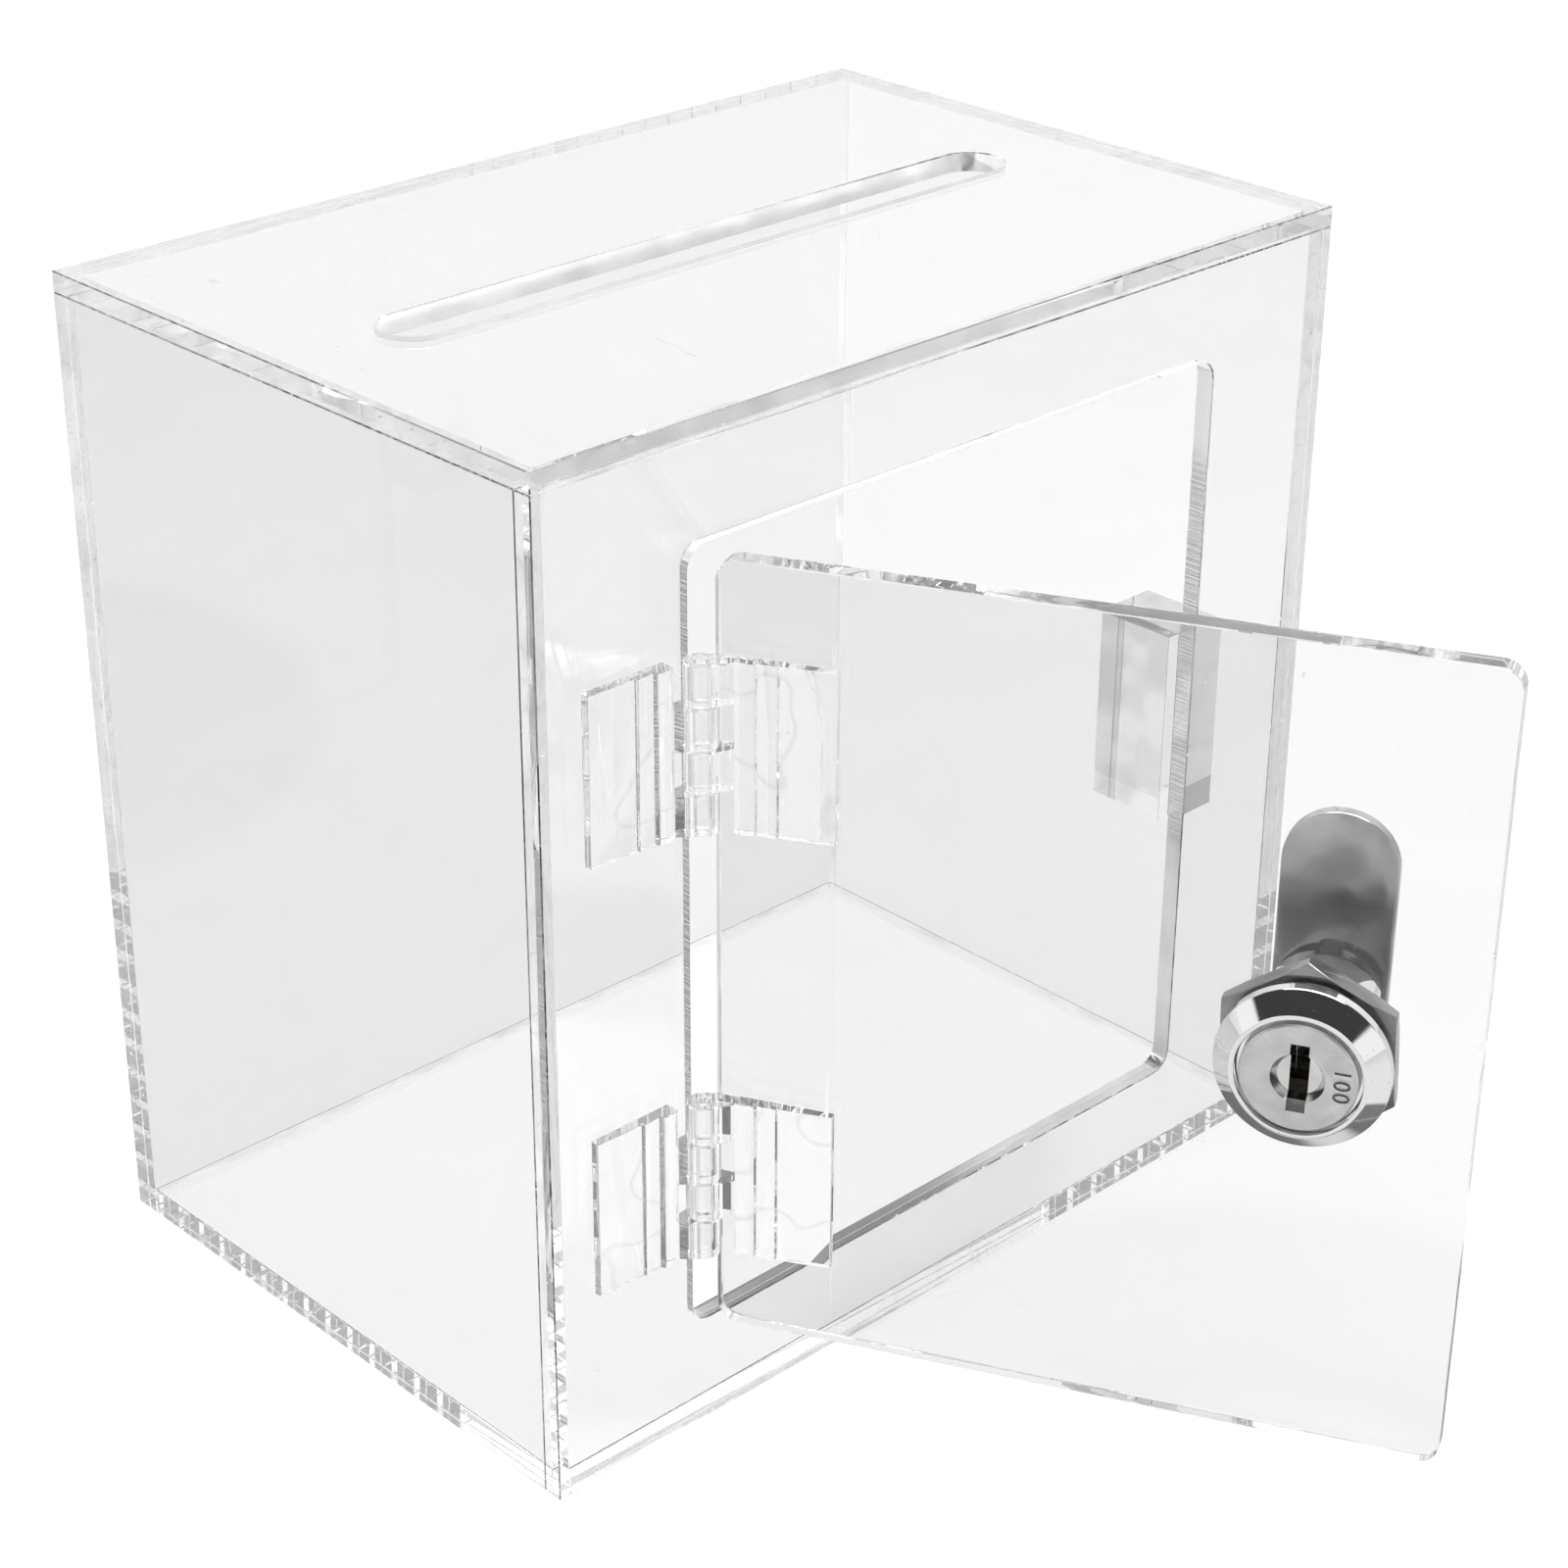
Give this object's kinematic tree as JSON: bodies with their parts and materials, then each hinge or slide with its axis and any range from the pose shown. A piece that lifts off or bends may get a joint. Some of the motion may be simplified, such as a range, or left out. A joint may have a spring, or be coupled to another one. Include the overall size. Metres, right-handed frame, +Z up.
{
  "type": "donation box",
  "caption": "Clear acrylic collection box with a round-ended money slot in the lid and a hinged, cam-locked front door that stands open.",
  "frame": {"origin": "centre of the box's footprint, on the surface that it stands on", "axes": "+Z up; -Y out of the front face, which has the door; +X to the right as the front is seen from outside"},
  "size_m": [0.15, 0.1902, 0.15],
  "materials": {
    "clear_acrylic": "polished clear sheet with saw-cut edges",
    "clear_hinge": "clear moulding",
    "bright_chrome": "polished plating",
    "satin_nickel": "brushed satin",
    "plated_steel": "bright plated",
    "wafer_brass": "stamped",
    "spring_steel": "drawn wire"
  },
  "bodies": {
    "box": {"front_panel": "clear_acrylic", "back_panel": "clear_acrylic", "left_panel": "clear_acrylic", "right_panel": "clear_acrylic", "top_panel": "clear_acrylic", "bottom_panel": "clear_acrylic", "stop_block": "clear_acrylic", "upper_frame_leaf": "clear_hinge", "lower_frame_leaf": "clear_hinge", "upper_hinge_pin": "clear_hinge", "lower_hinge_pin": "clear_hinge"},
    "door": {"door_panel": "clear_acrylic", "upper_door_leaf": "clear_hinge", "lower_door_leaf": "clear_hinge", "lock_housing": "bright_chrome", "lock_nut": "plated_steel"},
    "lock": {"lock_plug": "satin_nickel", "wafer_tumblers": "wafer_brass", "wafer_springs": "spring_steel", "stop_washer": "plated_steel", "lock_cam": "plated_steel", "spring_washer": "spring_steel", "cam_screw": "plated_steel"}
  },
  "joints": [
    {"name": "door_hinge", "type": "hinge", "parent": "box", "child": "door", "pos_m": [-0.0505, -0.0526, 0.075], "axis": [0, 0, -1], "range_deg": [-62.3, 117.5]},
    {"name": "lock_turn", "type": "hinge", "parent": "door", "child": "lock", "pos_m": [-0.01199, -0.12094, 0.075], "axis": [0.887, 0.4617, 0], "range_deg": [0, 90]}
  ]
}
